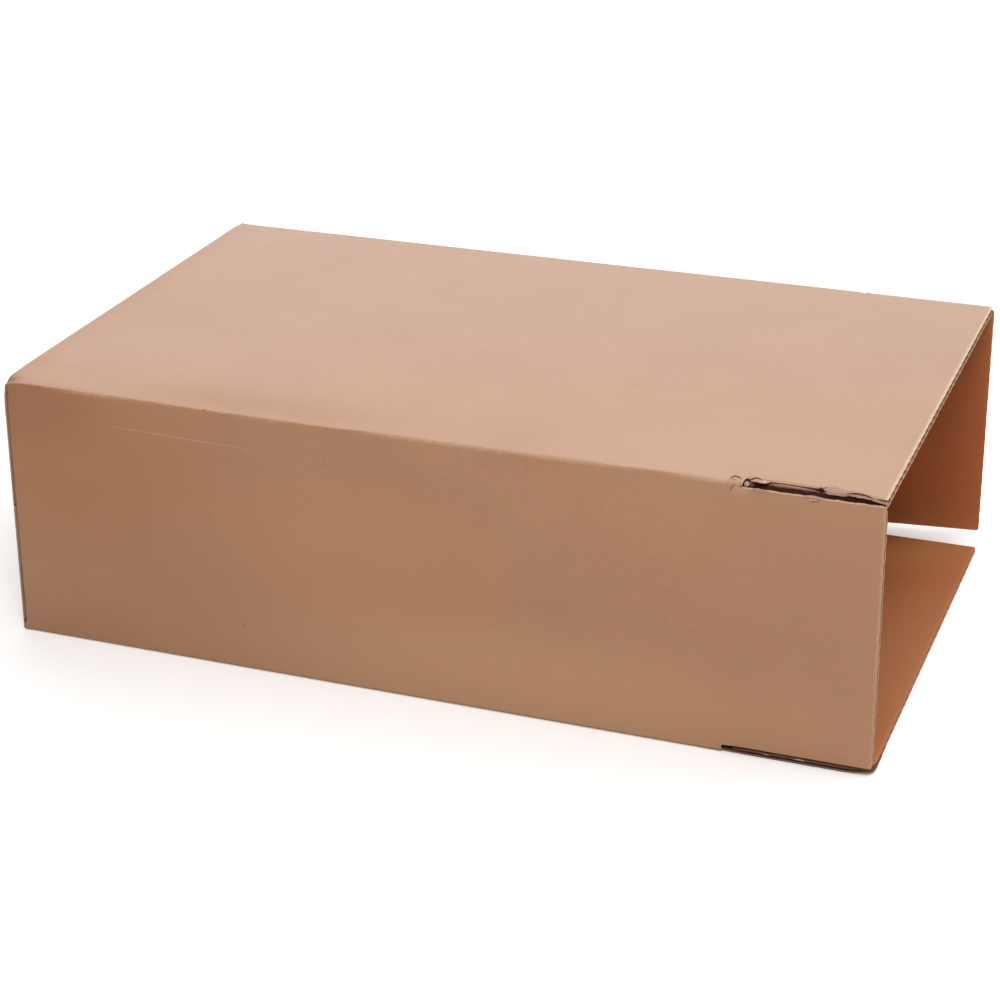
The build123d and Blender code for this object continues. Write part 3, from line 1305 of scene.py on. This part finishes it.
@dataclass(frozen=True)
class FlapCut:
    """Outline of a free flap: places of its side edges and of its free edge, and how they are worn."""

    wall: Wall
    low: float
    high: float
    low_free: float
    high_free: float
    reach_low: float
    reach_high: float
    tuck_low: float = 0.0
    tuck_high: float = 0.0
    rub_free: float = 0.0
    rub_low: float = 0.0
    rub_high: float = 0.0
    ragged_low: float = 0.08
    ragged_high: float = 0.08
    low_flare: float = 0.0
    flare_run: Pair = (396, 408)
    crush_free: float = 0.0
    crush_run: Pair = (4, 30)
    scallop: float = 0.12
    ragged: float = 0.05
    corner: float = 1.2
    low_corner: float = 1.2
    finish: PaperFinish = CUT_PAPER
    flutes: PaperFinish = FLUTE_PAPER

    def side(self, x: float, high: bool, tucked: bool = False) -> float:
        """Place of a side edge across the flutes.

        Args:
            x: Place along the flutes.
            high: True for the edge of the higher place, False for the other.
            tucked: True for the medium and inner liner, False for the outer liner.

        Returns:
            Y on a wide flap, Z on a narrow one.
        """
        start, end = (self.high, self.high_free) if high else (self.low, self.low_free)
        place = mix(start, end, ease(self.wall.crease, self.wall.crease + 3, x))
        past = ease(SIZES.slot_start, SIZES.slot_start + 4, x)
        size = self.ragged_high if high else self.ragged_low
        place += past * size * (ripple(x, 7 + self.wall.value, 3.5) + 0.6 * ripple(x, 4, 1.3))
        if not high:
            place -= self.low_flare * ease(*self.flare_run, x)
        tuck = self.tuck_high if high else -self.tuck_low
        return place - tuck if tucked else place

    def crush(self, across: float) -> float:
        """How far the free edge is pressed thin, less towards the low corner."""
        return self.crush_free * ease(*self.crush_run, across)

    def free(self, across: float, share: float) -> float:
        """X of the free edge, with its scallops and its rounded corners."""
        edge = mix(self.reach_low, self.reach_high, share)
        wave = math.cos(BOARD.flute_phase(across))
        edge += self.scallop * (wave - 1) / 2 + self.ragged * ripple(across, self.wall.value + 1, 3.0)
        width = abs(self.high_free - self.low_free)
        from_side = min(share, 1 - share) * width
        corner = self.low_corner if share < 0.5 else self.corner
        if from_side < corner:
            gap = 1 - from_side / corner
            edge -= corner * (1 - math.sqrt(max(0.0, 1 - gap * gap)))
        return edge


@dataclass
class FreeFlap:
    """One free flap, bent out of its wall at the crease."""

    kit: Finishes
    flutes: bpy.types.NodeTree
    cut: FlapCut
    body: str

    def shape(self, point: Vector) -> Vector:
        """Moves a point of the flat flap to where the flap stands."""
        wall = self.cut.wall
        if wall is Wall.BACK:
            share = ease(wall.crease - SIZES.bend, wall.crease + SIZES.bend, point.x)
            pivot = Vector((wall.crease, SIZES.depth - BOARD.half, 0))
            turn = Matrix.Rotation(math.radians(SIZES.splay) * share, 3, "Z")
            return pivot + turn @ (point - pivot)
        if wall is Wall.BOTTOM:
            share = ease(*FOOT_CORNER_RUN, point.x) * ease(FOOT_CORNER_WIDTH, 0, point.y)
            return point + Vector((0, 0, FOOT_CORNER_LIFT * share))
        return point

    def rows(self, side: Face) -> list[Row]:
        """Grid of one liner of the flap."""
        cut, wall = self.cut, self.cut.wall
        tucked = side is Face.INNER
        end = max(cut.reach_low, cut.reach_high)
        bend_end = wall.crease + BOARD.crush
        width = cut.high_free - cut.low_free
        columns = stations(0.0, width, BOARD.pitch / 8, SPACING.flap_side, SPACING.flap_side_run)
        shares = [place / width for place in columns]
        places = stations(wall.end, bend_end, SPACING.crease)[:-1]
        places += stations(bend_end, end, SPACING.flap, SPACING.flap_end, SPACING.flap_end_run)
        rows = []
        for x in places:
            row = []
            for share in shares:
                across = mix(cut.side(x, False, tucked), cut.side(x, True, tucked), share)
                free = cut.free(across, share)
                at = x if x <= bend_end else mix(bend_end, free, (x - bend_end) / (end - bend_end))
                from_side = min(share, 1 - share) * width if x > SIZES.slot_start else NO_EDGE_NEAR
                from_edge = min(free - at, from_side)
                place = wall.sheet_place(across)
                deep = liner_depth(side, place, from_edge, at - wall.crease)
                if not tucked:
                    deep += cut.crush(across) * bell(free - at, FREE_CRUSH_REACH)
                point, uv = wall.spot(at, across, deep)
                row.append((self.shape(point), uv))
            rows.append(row)
        return rows

    def wear(self, point: Vector) -> float:
        """Wear near the cut edges."""
        cut, wall = self.cut, self.cut.wall
        across = point.y if wall.wide else point.z
        low, high = cut.side(point.x, False), cut.side(point.x, True)
        share = min(1.0, max(0.0, (across - low) / (high - low)))
        worn = cut.rub_free * bell(cut.free(across, share) - point.x, 1.5)
        if point.x > SIZES.slot_start:
            sides = ((cut.rub_low, across - low), (cut.rub_high, high - across))
            worn = max(worn, *(rub * bell(distance, 0.8) for rub, distance in sides))
        return worn

    def liner(self, side: Face) -> bpy.types.Object:
        """One liner of the flap."""
        outer = side is Face.OUTER
        finish = OUTER_KRAFT if outer else INNER_KRAFT
        skin = Skin(f"{self.body}_{side.name.lower()}_liner", BOARD.liner, finish, self.cut.finish)
        facing = self.cut.wall.outward * side.value
        skin.add(self.rows(side), facing, self.wear if outer else None)
        return skin.finish(self.kit)

    def medium(self) -> bpy.types.Object:
        """The fluted medium of the flap."""
        cut, wall = self.cut, self.cut.wall
        start = wall.end
        length = min(cut.reach_low, cut.reach_high) - MEDIUM_MARGIN - start
        width = cut.high_free - cut.tuck_high - cut.low_free - cut.tuck_low - MEDIUM_MARGIN
        medium = Medium(
            f"{self.body}_flutes",
            length,
            width,
            rows=int(length / 1.5),
            crushed=BOARD.crush + 3,
            crushed_height=0.3,
            finish=cut.flutes,
        )

        def place(x: float, share: float, rise: float) -> Spot:
            """Spot of the flap's medium, pressed in at the score and at a crushed free edge."""
            at = start + x
            low = cut.side(at, False, True) + MEDIUM_MARGIN / 2
            high = cut.side(at, True, True) - MEDIUM_MARGIN / 2
            valley = BOARD.score / 2 * bell(at - wall.crease, BOARD.score_reach)
            free = mix(cut.reach_low, cut.reach_high, share) - MEDIUM_MARGIN
            at += (free - start - length) * x / length
            across = mix(low, high, share)
            deep = BOARD.half - valley - rise
            deep += cut.crush(across) * bell(free - at, FREE_CRUSH_REACH) * (1 - deep / BOARD.thickness)
            point, uv = wall.spot(at, across, deep)
            return self.shape(point), uv

        return medium.build(self.kit, self.flutes, place)

    def build(self) -> list[bpy.types.Object]:
        """Makes the flap's pieces, shaped where the flap stands, hides the flap's CAD part and bakes each
        piece's placement into its mesh.
        """
        pieces = [self.liner(Face.OUTER), self.liner(Face.INNER), self.medium()]
        wall = self.cut.wall
        middle = wall.point(wall.crease, wall.span / 2, BOARD.half)
        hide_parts(self.body)
        for piece in pieces:
            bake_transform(piece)
        return pieces


CUTS = {
    Wall.FRONT: FlapCut(
        Wall.FRONT,
        low=3.7,
        high=126.5,
        low_free=3.9,
        high_free=126.0,
        reach_low=409.5,
        reach_high=409.5,
        tuck_high=3.0,
        rub_free=0.5,
        rub_low=0.35,
        rub_high=0.9,
        ragged_high=0.4,
        scallop=0.28,
        ragged=0.12,
    ),
    Wall.TOP: FlapCut(
        Wall.TOP,
        low=6.9,
        high=248.8,
        low_free=6.8,
        high_free=249.6,
        reach_low=409.0,
        reach_high=410.8,
        tuck_low=-0.4,
        rub_free=0.8,
        low_flare=2.5,
    ),
    Wall.BACK: FlapCut(
        Wall.BACK,
        low=4.0,
        high=122.9,
        low_free=3.8,
        high_free=123.2,
        reach_low=411.6,
        reach_high=411.6,
        # Painted shade on the back flap's cut edges and flutes.
        finish=PAINTED_SHADE_CUT,
        flutes=PAINTED_SHADE_CUT,
    ),
    Wall.BOTTOM: FlapCut(
        Wall.BOTTOM,
        low=1.2,
        high=236.8,
        low_free=1.0,
        high_free=232.0,
        reach_low=410.2,
        reach_high=413.6,
        crush_free=2.0,
        low_corner=3.5,
        # Painted shade on the bottom flap's cut edges and flutes.
        finish=PAINTED_SHADE_CUT,
        flutes=PAINTED_SHADE_CUT,
    ),
}


@dataclass(frozen=True)
class Shred:
    """Narrow strip of torn paper, or a dark strip of painted shade, along a line of points, narrower
    towards its ends.
    """

    line: tuple[Triple, ...]
    width: float
    face: Triple = (0, 0, 1)
    crown: float = 0.15
    taper: float = 0.3
    wobble: float = 0.12
    lift: float = 0.0

    def spot_at(self, share: float) -> Vector:
        """Point at a share of the way along the line."""
        place = share * (len(self.line) - 1)
        first = min(int(place), len(self.line) - 2)
        before = Vector(self.line[max(first - 1, 0)])
        start, end = Vector(self.line[first]), Vector(self.line[first + 1])
        after = Vector(self.line[min(first + 2, len(self.line) - 1)])
        part = place - first
        leave, arrive = (end - before) / 2, (after - start) / 2
        square, cube = part * part, part**3
        return (
            start * (2 * cube - 3 * square + 1)
            + leave * (cube - 2 * square + part)
            + end * (3 * square - 2 * cube)
            + arrive * (cube - square)
        )

    def rows(self, seed: float) -> list[Row]:
        """Grid of the strip."""
        length = sum((Vector(b) - Vector(a)).length for a, b in zip(self.line, self.line[1:]))
        steps = max(4, int(length / 0.5))
        up = Vector(self.face).normalized()
        rows = []
        for step in range(steps + 1):
            share = step / steps
            point = self.spot_at(share)
            ahead = self.spot_at(min(1.0, share + 0.01)) - self.spot_at(max(0.0, share - 0.01))
            across = ahead.cross(up).normalized()
            narrow = min(1.0, (min(share, 1 - share) + 0.04) / self.taper) if self.taper else 1.0
            point += up * self.lift * math.sin(math.pi * share)
            half = self.width / 2 * narrow * (1 + self.wobble * 3 * ripple(share * length, seed, 1.7))
            point += up * self.wobble * ripple(share * length, seed + 0.5, 2.2)
            row = []
            for part in (-1.0, -0.5, 0.0, 0.5, 1.0):
                spot = point + across * half * part + up * self.crown * (1 - part * part)
                row.append((spot, (spot.x * MM, (SIZES.height + spot.y + spot.z) * MM)))
            rows.append(row)
        return rows


def arc(*line: Triple, width: float = 0.65, face: Triple = (0, 0, 1), crown: float = 0.05) -> Shred:
    """Thin smooth strip that lies nearly flat."""
    return Shred(line, width, face, crown, wobble=0.03)


def ring_line(middle: Triple, radius: float, right: Triple, up: Triple) -> tuple[Triple, ...]:
    """Points on most of a circle, in the plane of right and up."""
    points = []
    for step in range(13):
        angle = 2 * math.pi * 0.95 * step / 12
        spot = Vector(middle) + radius * (math.cos(angle) * Vector(right) + math.sin(angle) * Vector(up))
        points.append(tuple(spot))
    return tuple(points)


@dataclass
class TornPaper:
    """Shreds, lips and curls that hang on one body around a slot, with thin dark strips of painted shade
    in its cracks and gaps.
    """

    kit: Finishes
    name: str
    body: str
    shreds: dict[PaperFinish, tuple[Shred, ...]]
    paper: float = 0.18

    def build(self) -> list[bpy.types.Object]:
        """Makes one piece for each finish."""
        pieces = []
        for finish, shreds in self.shreds.items():
            skin = Skin(f"{self.name}_{finish.name}", self.paper, finish, finish)
            for number, shred in enumerate(shreds):
                skin.add(shred.rows(number + 1.0), Vector(shred.face))
            piece = skin.finish(self.kit)
            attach(piece, self.body)
            pieces.append(piece)
        return pieces


TORN_FACE = (0.0, -0.6, 0.8)
SLOT_FACE = (0.0, -1.0, 0.25)
CURL_RIGHT = (0.97, 0.24, 0.0)
CURL_UP = (-0.1, 0.39, 0.91)
CURL_FACE = (0.22, -0.89, 0.41)
CURL_RING = ring_line((350.4, 2.3, 126.6), 1.5, CURL_RIGHT, CURL_UP)
CURL_LEAF = ((349.2, 2.6, 126.5), (350.4, 2.1, 126.7), (351.6, 2.1, 126.6))

TORN_ON_BOX = {
    # Painted shade: a dark arc under the lifted liner at the slot's start, and the dark ring of the curl.
    PAINTED_TEAR_SHADE: (
        arc((343.0, 3.6, 127.7), (343.8, 5.8, 127.8), (345.2, 6.4, 127.8), (347.7, 4.8, 127.7), width=0.6),
        Shred(CURL_RING, 0.42, CURL_FACE, crown=0.1, taper=0.05, wobble=0.08),
    ),
    TORN_PLY: (
        Shred(CURL_LEAF, 2.2, CURL_FACE, crown=0.4),
        Shred(((343.6, 4.0, 127.4), (345.4, 4.6, 127.5), (347.4, 4.0, 127.4)), 2.4, lift=0.1),
    ),
}
# Line of a dark strip of painted shade over the lower part of the top flap's cut edge.
SLOT_SHADOW = (
    (352.2, 6.2, 124.3),
    (362.0, 6.2, 124.1),
    (380.0, 6.2, 124.3),
    (392.0, 6.2, 124.4),
    (400.0, 5.6, 124.8),
    (405.6, 4.2, 124.7),
    (408.2, 3.9, 124.6),
)
CREASE_LEAF = ((351.6, 5.2, 127.1), (353.8, 5.4, 127.4), (356.4, 5.2, 127.3), (359.2, 6.3, 127.0))
TORN_LEAVES = (
    (((381.6, 6.6, 127.2), (385.5, 6.9, 127.3), (389.0, 6.9, 127.2), (393.0, 6.0, 126.6)), 2.8),
    (((382.4, 6.1, 126.0), (387.0, 6.0, 126.2), (392.8, 6.0, 126.0)), 1.6),
    (((391.4, 6.2, 126.8), (397.4, 6.1, 127.0), (404.6, 4.8, 126.8)), 2.4),
    (((402.0, 4.4, 126.6), (406.0, 3.7, 126.4), (409.9, 3.2, 126.1)), 1.5),
)
TORN_ON_TOP_FLAP = {
    # Painted shade: dark lines and a spot under the torn liner at the top flap's near edge, and the strip
    # over its cut edge.
    PAINTED_TEAR_SHADE: (
        arc((351.7, 4.8, 127.7), (352.4, 6.6, 127.9), (353.8, 7.3, 127.9), (356.4, 5.8, 127.7)),
        Shred(((380.2, 6.6, 127.7), (381.8, 5.6, 127.6)), 1.6, crown=0.05),
        arc((381.9, 6.6, 127.6), (383.7, 7.9, 127.8), (386.0, 8.3, 127.8), (388.4, 7.9, 127.7), width=0.5),
        arc((392.0, 5.2, 127.4), (395.1, 6.0, 127.6), (398.5, 5.8, 127.6), (402.4, 4.6, 127.4)),
        Shred(((405.0, 3.9, 127.4), (407.4, 3.5, 127.4), (409.4, 3.1, 127.3)), 0.6, crown=0.02),
        Shred(SLOT_SHADOW, 2.4, SLOT_FACE, taper=0.12),
    ),
    TORN_PLY: (
        Shred(CREASE_LEAF, 2.8, lift=0.2),
        *(Shred(line, width, TORN_FACE) for line, width in TORN_LEAVES),
        Shred(((359.4, 6.2, 126.3), (368.0, 6.1, 126.4), (378.6, 6.2, 126.2)), 0.9, SLOT_FACE),
    ),
}
TORN_ON_FRONT_FLAP = {
    FLUTE_PAPER: (
        Shred(((353.2, -0.1, 125.5), (356.5, -0.2, 125.7), (360.4, -0.1, 125.4)), 1.3, SLOT_FACE),
    ),
    TORN_PLY: (
        Shred(
            ((374.8, -0.1, 125.8), (377.0, -0.3, 126.1), (380.0, -0.3, 126.2), (384.0, -0.1, 126.0)),
            1.0,
            SLOT_FACE,
        ),
        Shred(((375.6, -0.1, 124.6), (378.0, -0.3, 124.8), (382.4, -0.1, 124.6)), 0.7, SLOT_FACE),
        Shred(((400.2, -0.1, 125.6), (403.4, -0.3, 125.2), (407.2, -0.1, 124.8)), 0.8, SLOT_FACE),
    ),
    # Painted shade: a dark line under the torn liner at the front flap's top edge.
    PAINTED_TEAR_SHADE: (
        arc(
            (377.0, -0.3, 125.0),
            (378.8, -0.3, 124.3),
            (380.3, -0.3, 124.3),
            (382.0, -0.3, 125.3),
            width=0.38,
            face=SLOT_FACE,
            crown=0.02,
        ),
    ),
}
TORN_ON_BOTTOM_FLAP = {
    TORN_PLY: (
        Shred(((375.8, 1.0, 2.0), (378.0, 0.8, 2.4), (380.2, 1.0, 2.0)), 0.6, SLOT_FACE),
        Shred(((361.8, 1.0, 2.2), (363.4, 0.8, 2.0), (364.8, 1.0, 1.8)), 0.4, SLOT_FACE),
    ),
}


class Studio:
    """Camera, floor and light."""

    camera_at = Vector((0.3636, -1.0063, 0.5314))
    yaw = math.radians(19.62)
    pitch = math.radians(21.45)
    roll = math.radians(0.11)
    focal_pixels = 2395.6
    picture_side = 1000.0
    axis_pixel = (530.9, 371.9)
    sensor = 36.0
    backdrop_glow = 3.4
    far_corner_glow = 2.3
    open_end_glow = 0.32
    zenith_glow = 0.5
    lights = (
        ("key", (0.35, -1.0, 1.15), (0.1, 0.0, 0.05), 0.5, 10.5),
        ("overhead", (0.0, 0.0, 2.0), (0.0, 0.0, 0.0), 1.2, 3.9),
    )
    floor_reach = 6.0
    floor_below = 0.0002
    floor_tone = (0.93, 0.93, 0.93, 1)
    floor_glow = 0.25

    def camera(self) -> None:
        """Camera at the photograph's viewing angle."""
        data = bpy.data.cameras.new("camera")
        data.sensor_width = self.sensor
        data.lens = self.focal_pixels / self.picture_side * self.sensor
        data.shift_x = 0.5 - self.axis_pixel[0] / self.picture_side
        data.shift_y = self.axis_pixel[1] / self.picture_side - 0.5
        data.clip_start = 0.05
        data.clip_end = 50.0
        piece = added("camera", data)
        level = Vector((math.cos(self.yaw), math.sin(self.yaw), 0))
        ahead = Vector((-math.sin(self.yaw), math.cos(self.yaw), 0))
        forward = ahead * math.cos(self.pitch) - Vector((0, 0, math.sin(self.pitch)))
        down = forward.cross(level)
        right = level * math.cos(self.roll) + down * math.sin(self.roll)
        up = level * math.sin(self.roll) - down * math.cos(self.roll)
        turn = Matrix((right, up, -forward)).transposed()
        piece.matrix_world = Matrix.Translation(self.camera_at) @ turn.to_4x4()
        bpy.context.scene.camera = piece

    def floor(self) -> None:
        """Plain pale floor, with a faint glow of its own that only the camera sees."""
        data = bpy.data.meshes.new("floor")
        signs = ((-1, -1), (1, -1), (1, 1), (-1, 1))
        corners = [(x * self.floor_reach, y * self.floor_reach, -self.floor_below) for x, y in signs]
        data.from_pydata(corners, [], [(0, 1, 2, 3)])
        piece = added("floor", data)
        material = bpy.data.materials.new("pale_floor")
        material.use_nodes = True
        shader = material.node_tree.nodes["Principled BSDF"]
        shader.inputs["Base Color"].default_value = self.floor_tone
        shader.inputs["Roughness"].default_value = 0.9
        shader.inputs["Specular IOR Level"].default_value = 0.1
        bench = NodeBench(material.node_tree)
        seen = bench.add("ShaderNodeLightPath").outputs["Is Camera Ray"]
        glow = bench.math("MULTIPLY", seen, self.floor_glow)
        shader.inputs["Emission Color"].default_value = (1, 1, 1, 1)
        material.node_tree.links.new(glow, shader.inputs["Emission Strength"])
        data.materials.append(material)
        piece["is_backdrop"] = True

    def light(self, name: str, at: Triple, aim: Triple, size: float, power: float) -> None:
        """Adds a square soft light.

        Args:
            name: Name of the light.
            at: Where it is.
            aim: What it points at.
            size: Side of its square.
            power: Its power in watts.
        """
        data = bpy.data.lights.new(name, "AREA")
        data.shape = "SQUARE"
        data.size = size
        data.energy = power
        piece = added(name, data)
        turn = (Vector(aim) - Vector(at)).to_track_quat("-Z", "Y")
        piece.matrix_world = Matrix.Translation(at) @ turn.to_matrix().to_4x4()

    def surround(self) -> None:
        """White surround: a bright low backdrop behind the carton, and a dimmer side past its open end."""
        world = bpy.data.worlds.new("studio")
        bpy.context.scene.world = world
        world.use_nodes = True
        world.node_tree.nodes.clear()
        bench = NodeBench(world.node_tree)
        way = bench.add("ShaderNodeTexCoord").outputs["Generated"]
        parts = bench.add("ShaderNodeSeparateXYZ", {0: way}).outputs
        low = bench.spread(parts["Z"], 0.6, 0.3, 0.0, self.backdrop_glow)
        backdrop = bench.math("MULTIPLY", bench.spread(parts["Y"], 0.3, 0.8), low)
        beside = bench.spread(parts["Y"], -0.2, 0.5, self.open_end_glow, self.far_corner_glow)
        side = bench.math("MULTIPLY", bench.spread(parts["X"], 0.1, 0.75), beside)
        above = bench.spread(parts["Z"], 0.5, 0.9, 0.0, self.zenith_glow)
        glow = bench.math("ADD", bench.math("ADD", backdrop, side), above)
        sky = bench.add("ShaderNodeBackground", {"Color": (1, 1, 1, 1), "Strength": glow})
        bench.add("ShaderNodeOutputWorld", {"Surface": sky.outputs[0]})

    def build(self) -> None:
        """Sets up the whole studio."""
        bpy.context.scene.view_settings.view_transform = "Standard"
        self.surround()
        self.floor()
        for light in self.lights:
            self.light(*light)
        self.camera()


def keep_sizes() -> None:
    """Lays the CAD model's box and the visual model's box side by side, without writing them anywhere."""
    boxes = {"cad": CAD_BOUNDS, "visual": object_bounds()}
    plain = {name: [list(corner) for corner in pair] for name, pair in boxes.items()}


def main() -> None:
    """Builds the carton and its studio."""
    logging.basicConfig(level=logging.INFO, format="%(message)s")
    kit = Finishes()
    flutes = flute_tree()
    pieces = Tube(kit, flutes, CUTS).build()
    for wall, body in (
        (Wall.TOP, "top_flap"),
        (Wall.BOTTOM, "bottom_flap"),
        (Wall.FRONT, "front_flap"),
        (Wall.BACK, "back_flap"),
    ):
        pieces += FreeFlap(kit, flutes, CUTS[wall], body).build()
    for name, body, shreds in (
        ("tongue_tear", "box", TORN_ON_BOX),
        ("top_flap_tear", "top_flap", TORN_ON_TOP_FLAP),
        ("front_flap_tear", "front_flap", TORN_ON_FRONT_FLAP),
        ("bottom_flap_tear", "bottom_flap", TORN_ON_BOTTOM_FLAP),
    ):
        pieces += TornPaper(kit, name, body, shreds).build()
    for piece in pieces:
        log.info("%s: %d faces", piece.name, len(piece.data.polygons))
    Studio().build()
    keep_sizes()


if __name__ == "__main__":
    main()
